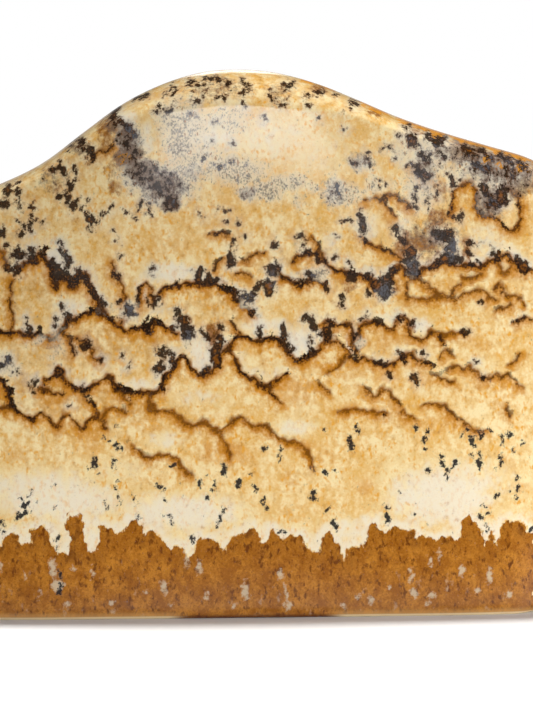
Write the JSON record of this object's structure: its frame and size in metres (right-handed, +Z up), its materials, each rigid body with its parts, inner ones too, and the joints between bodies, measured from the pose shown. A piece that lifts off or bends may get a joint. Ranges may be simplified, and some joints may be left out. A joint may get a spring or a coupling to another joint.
{
  "type": "polished picture jasper freeform",
  "caption": "Free-standing polished jasper stone with a hill-shaped crest, flattish faces and a sawn flat base to stand on its long edge.",
  "frame": {"origin": "middle of the sawn base's underside, at the centre of the stone's bounding box in X and Y, on the surface that it stands on", "axes": "+Z up; X along the stone's length, +X to the right seen from the picture side; the picture side faces -Y"},
  "size_m": [0.08, 0.0262, 0.0548],
  "materials": {
    "jasper": "polished, glossy"
  },
  "bodies": {
    "root": {"jasper_stone": "jasper"}
  },
  "joints": []
}
